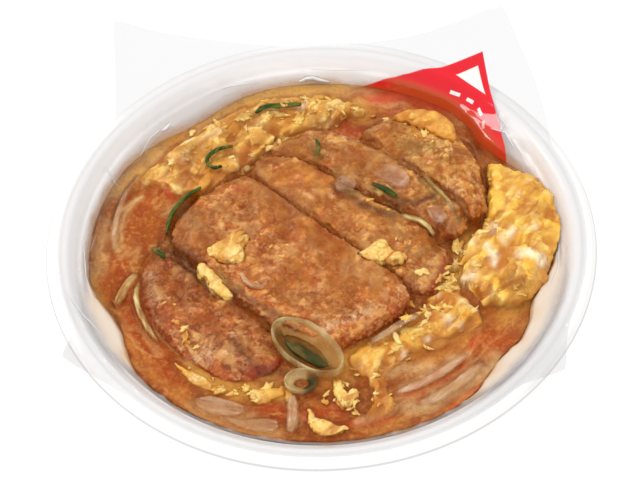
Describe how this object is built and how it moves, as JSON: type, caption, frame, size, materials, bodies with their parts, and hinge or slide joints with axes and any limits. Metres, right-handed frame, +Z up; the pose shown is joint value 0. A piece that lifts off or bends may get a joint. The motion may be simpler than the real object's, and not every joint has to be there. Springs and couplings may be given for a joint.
{
  "type": "katsudon in a bowl",
  "caption": "Sliced breaded pork cutlet with soft egg, onion and scallion in thick sauce, on a clear film in a round white foamed bowl.",
  "frame": {"origin": "centre of the bowl's flat base, on its underside", "axes": "+Z up along the bowl's axis; -Y towards the near side in the picture, +X to its right"},
  "size_m": [0.185, 0.185, 0.0706],
  "materials": {
    "bowl_foam": "white foamed plastic with a faint satin sheen",
    "clear_film": "thin clear film, creased, with a red print at one corner",
    "sauce": "thick glossy brown sauce, slightly cloudy",
    "cutlet_crust": "soaked fried breadcrumb crust with a wet sheen",
    "egg": "soft set egg, yellow with white curds, moist",
    "onion": "simmered onion, translucent and stained by the sauce",
    "scallion_green": "cooked dark green leaf, moist",
    "leek_pale": "cooked pale leek, translucent"
  },
  "bodies": {
    "root": {"bowl": "bowl_foam", "film": "clear_film", "sauce": "sauce", "cutlet_slice_1": "cutlet_crust", "cutlet_slice_2": "cutlet_crust", "cutlet_slice_3": "cutlet_crust", "cutlet_slice_4": "cutlet_crust", "cutlet_slice_5": "cutlet_crust", "egg_right": "egg", "egg_lower": "egg", "egg_left": "egg", "egg_back": "egg", "egg_on_slice_5": "egg", "egg_bit_left": "egg", "egg_bit_gap": "egg", "egg_bit_middle": "egg", "egg_bit_fork": "egg", "egg_bit_star": "egg", "onion_shred_left": "onion", "onion_shred_hook_a": "onion", "onion_shred_hook_b": "onion", "onion_stalk": "onion", "onion_shred_long": "onion", "onion_shred_band": "onion", "onion_shred_arc": "onion", "onion_strand_a": "onion", "onion_strand_b": "onion", "onion_foot": "onion", "onion_flat_a": "onion", "onion_flat_b": "onion", "onion_on_slice_4": "onion", "onion_on_slice_3": "onion", "onion_at_slice_end": "onion", "scallion_back": "scallion_green", "scallion_hook": "scallion_green", "scallion_curve": "scallion_green", "scallion_leaf": "scallion_green", "scallion_bit": "scallion_green", "scallion_on_slice_4": "scallion_green", "leek_ring": "leek_pale", "leek_collar": "leek_pale", "leek_leaf": "scallion_green"}
  },
  "joints": []
}
